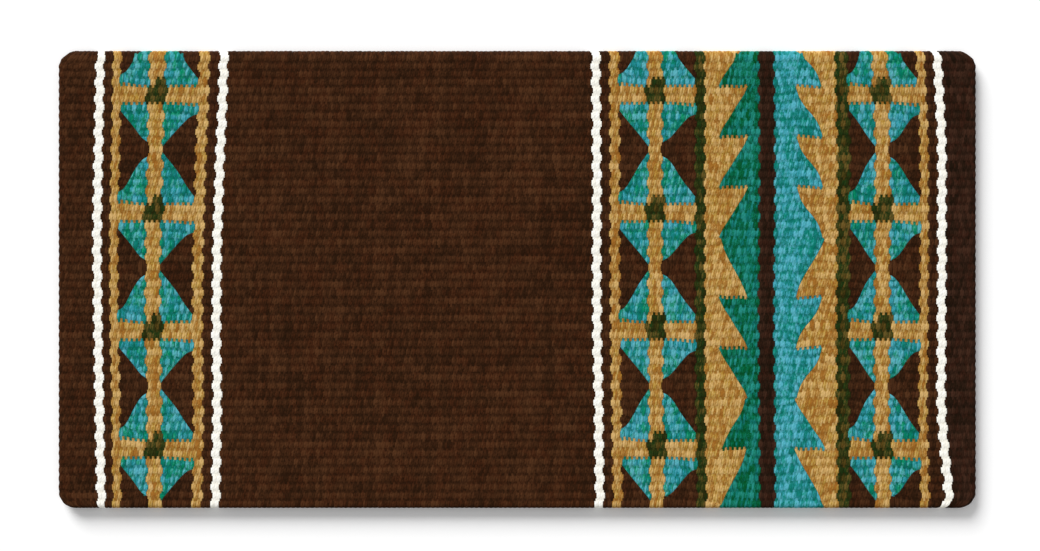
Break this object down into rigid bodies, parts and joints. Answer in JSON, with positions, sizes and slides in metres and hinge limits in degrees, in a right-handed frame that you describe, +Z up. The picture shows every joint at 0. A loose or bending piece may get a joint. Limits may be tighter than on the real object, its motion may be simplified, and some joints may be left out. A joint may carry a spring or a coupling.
{
  "type": "saddle blanket",
  "caption": "Weft-faced woven wool show saddle blanket, folded over the spine line: plain dark centre, a narrow front band and a wide rear band of stripes, crosses and sawteeth.",
  "frame": {"origin": "middle of the folded blanket's footprint, on the surface it lies on", "axes": "+X along the spine towards the rear edge, +Y towards the spine fold, +Z up"},
  "size_m": [0.864, 0.431, 0.0134],
  "materials": {
    "brown_wool": "dark brown matt hand-spun wool, thick soft ribs of weft with slightly mixed colour from yarn to yarn",
    "cream_wool": "natural cream matt hand-spun wool, thick soft ribs of weft with slightly mixed colour from yarn to yarn",
    "tan_wool": "golden tan matt hand-spun wool, thick soft ribs of weft with slightly mixed colour from yarn to yarn",
    "olive_wool": "dark olive green matt hand-spun wool, thick soft ribs of weft with slightly mixed colour from yarn to yarn",
    "dark_brown_wool": "near-black brown matt hand-spun wool, thick soft ribs of weft with slightly mixed colour from yarn to yarn",
    "green_wool": "deep green matt hand-spun wool, thick soft ribs of weft with slightly mixed colour from yarn to yarn",
    "turquoise_wool": "heathered turquoise matt hand-spun wool, thick soft ribs of weft with slightly mixed colour from yarn to yarn",
    "motif_wool": "tapestry-woven wool: brown ground, tan crosses, turquoise wings and olive squares",
    "banded_wool": "wool weft that changes colour from stripe to stripe along the fold",
    "warp_cord": "hard-twisted undyed wool cord, hidden inside the cloth"
  },
  "bodies": {
    "off_side_leaf": {"off_brown_1": "brown_wool", "off_brown_2": "brown_wool", "off_brown_3": "brown_wool", "off_brown_4": "brown_wool", "off_centre_panel": "brown_wool", "off_cream_1": "cream_wool", "off_cream_2": "cream_wool", "off_cream_3": "cream_wool", "off_cream_4": "cream_wool", "off_dark_stripe": "dark_brown_wool", "off_front_border": "brown_wool", "off_front_motif": "motif_wool", "off_front_tan_teeth": "tan_wool", "off_green_teeth": "green_wool", "off_middle_motif": "motif_wool", "off_olive_1": "olive_wool", "off_olive_2": "olive_wool", "off_rear_border": "brown_wool", "off_rear_motif": "motif_wool", "off_rear_tan_teeth": "tan_wool", "off_tan_1": "tan_wool", "off_tan_2": "tan_wool", "off_tan_3": "tan_wool", "off_tan_4": "tan_wool", "off_turquoise_teeth": "turquoise_wool", "off_warp_cord": "warp_cord"},
    "near_side_leaf": {"near_brown_1": "brown_wool", "near_brown_2": "brown_wool", "near_brown_3": "brown_wool", "near_brown_4": "brown_wool", "near_centre_panel": "brown_wool", "near_cream_1": "cream_wool", "near_cream_2": "cream_wool", "near_cream_3": "cream_wool", "near_cream_4": "cream_wool", "near_dark_stripe": "dark_brown_wool", "near_front_border": "brown_wool", "near_front_motif": "motif_wool", "near_front_tan_teeth": "tan_wool", "near_green_teeth": "green_wool", "near_middle_motif": "motif_wool", "near_olive_1": "olive_wool", "near_olive_2": "olive_wool", "near_rear_border": "brown_wool", "near_rear_motif": "motif_wool", "near_rear_tan_teeth": "tan_wool", "near_tan_1": "tan_wool", "near_tan_2": "tan_wool", "near_tan_3": "tan_wool", "near_tan_4": "tan_wool", "near_turquoise_teeth": "turquoise_wool", "near_warp_cord": "warp_cord"},
    "spine_fold": {"fold_centre": "brown_wool", "fold_front_band": "banded_wool", "fold_front_border": "brown_wool", "fold_middle_band": "banded_wool", "fold_rear_band": "banded_wool", "fold_rear_border": "brown_wool", "fold_tooth_band": "banded_wool"},
    "spine_warp": {"fold_warp_cord": "warp_cord"}
  },
  "joints": [
    {"name": "spine_open", "type": "hinge", "parent": "off_side_leaf", "child": "near_side_leaf", "pos_m": [0, 0.21125, 0.0067], "axis": [-1, 0, 0], "range_deg": [0, 180]},
    {"name": "fold_turn", "type": "hinge", "parent": "off_side_leaf", "child": "spine_fold", "pos_m": [0, 0.21125, 0.0067], "axis": [-1, 0, 0], "range_deg": [0, 90], "deforming": ["fold_centre", "fold_front_band", "fold_front_border", "fold_middle_band", "fold_rear_band", "fold_rear_border", "fold_tooth_band"]},
    {"name": "fold_warp_turn", "type": "hinge", "parent": "near_side_leaf", "child": "spine_warp", "pos_m": [0, 0.21125, 0.0067], "axis": [1, 0, 0], "range_deg": [0, 90], "deforming": ["fold_warp_cord"]}
  ],
  "couplings": [
    {"joint": "fold_turn", "follows": "spine_open", "ratio": 0.5},
    {"joint": "fold_warp_turn", "follows": "spine_open", "ratio": 0.5}
  ]
}
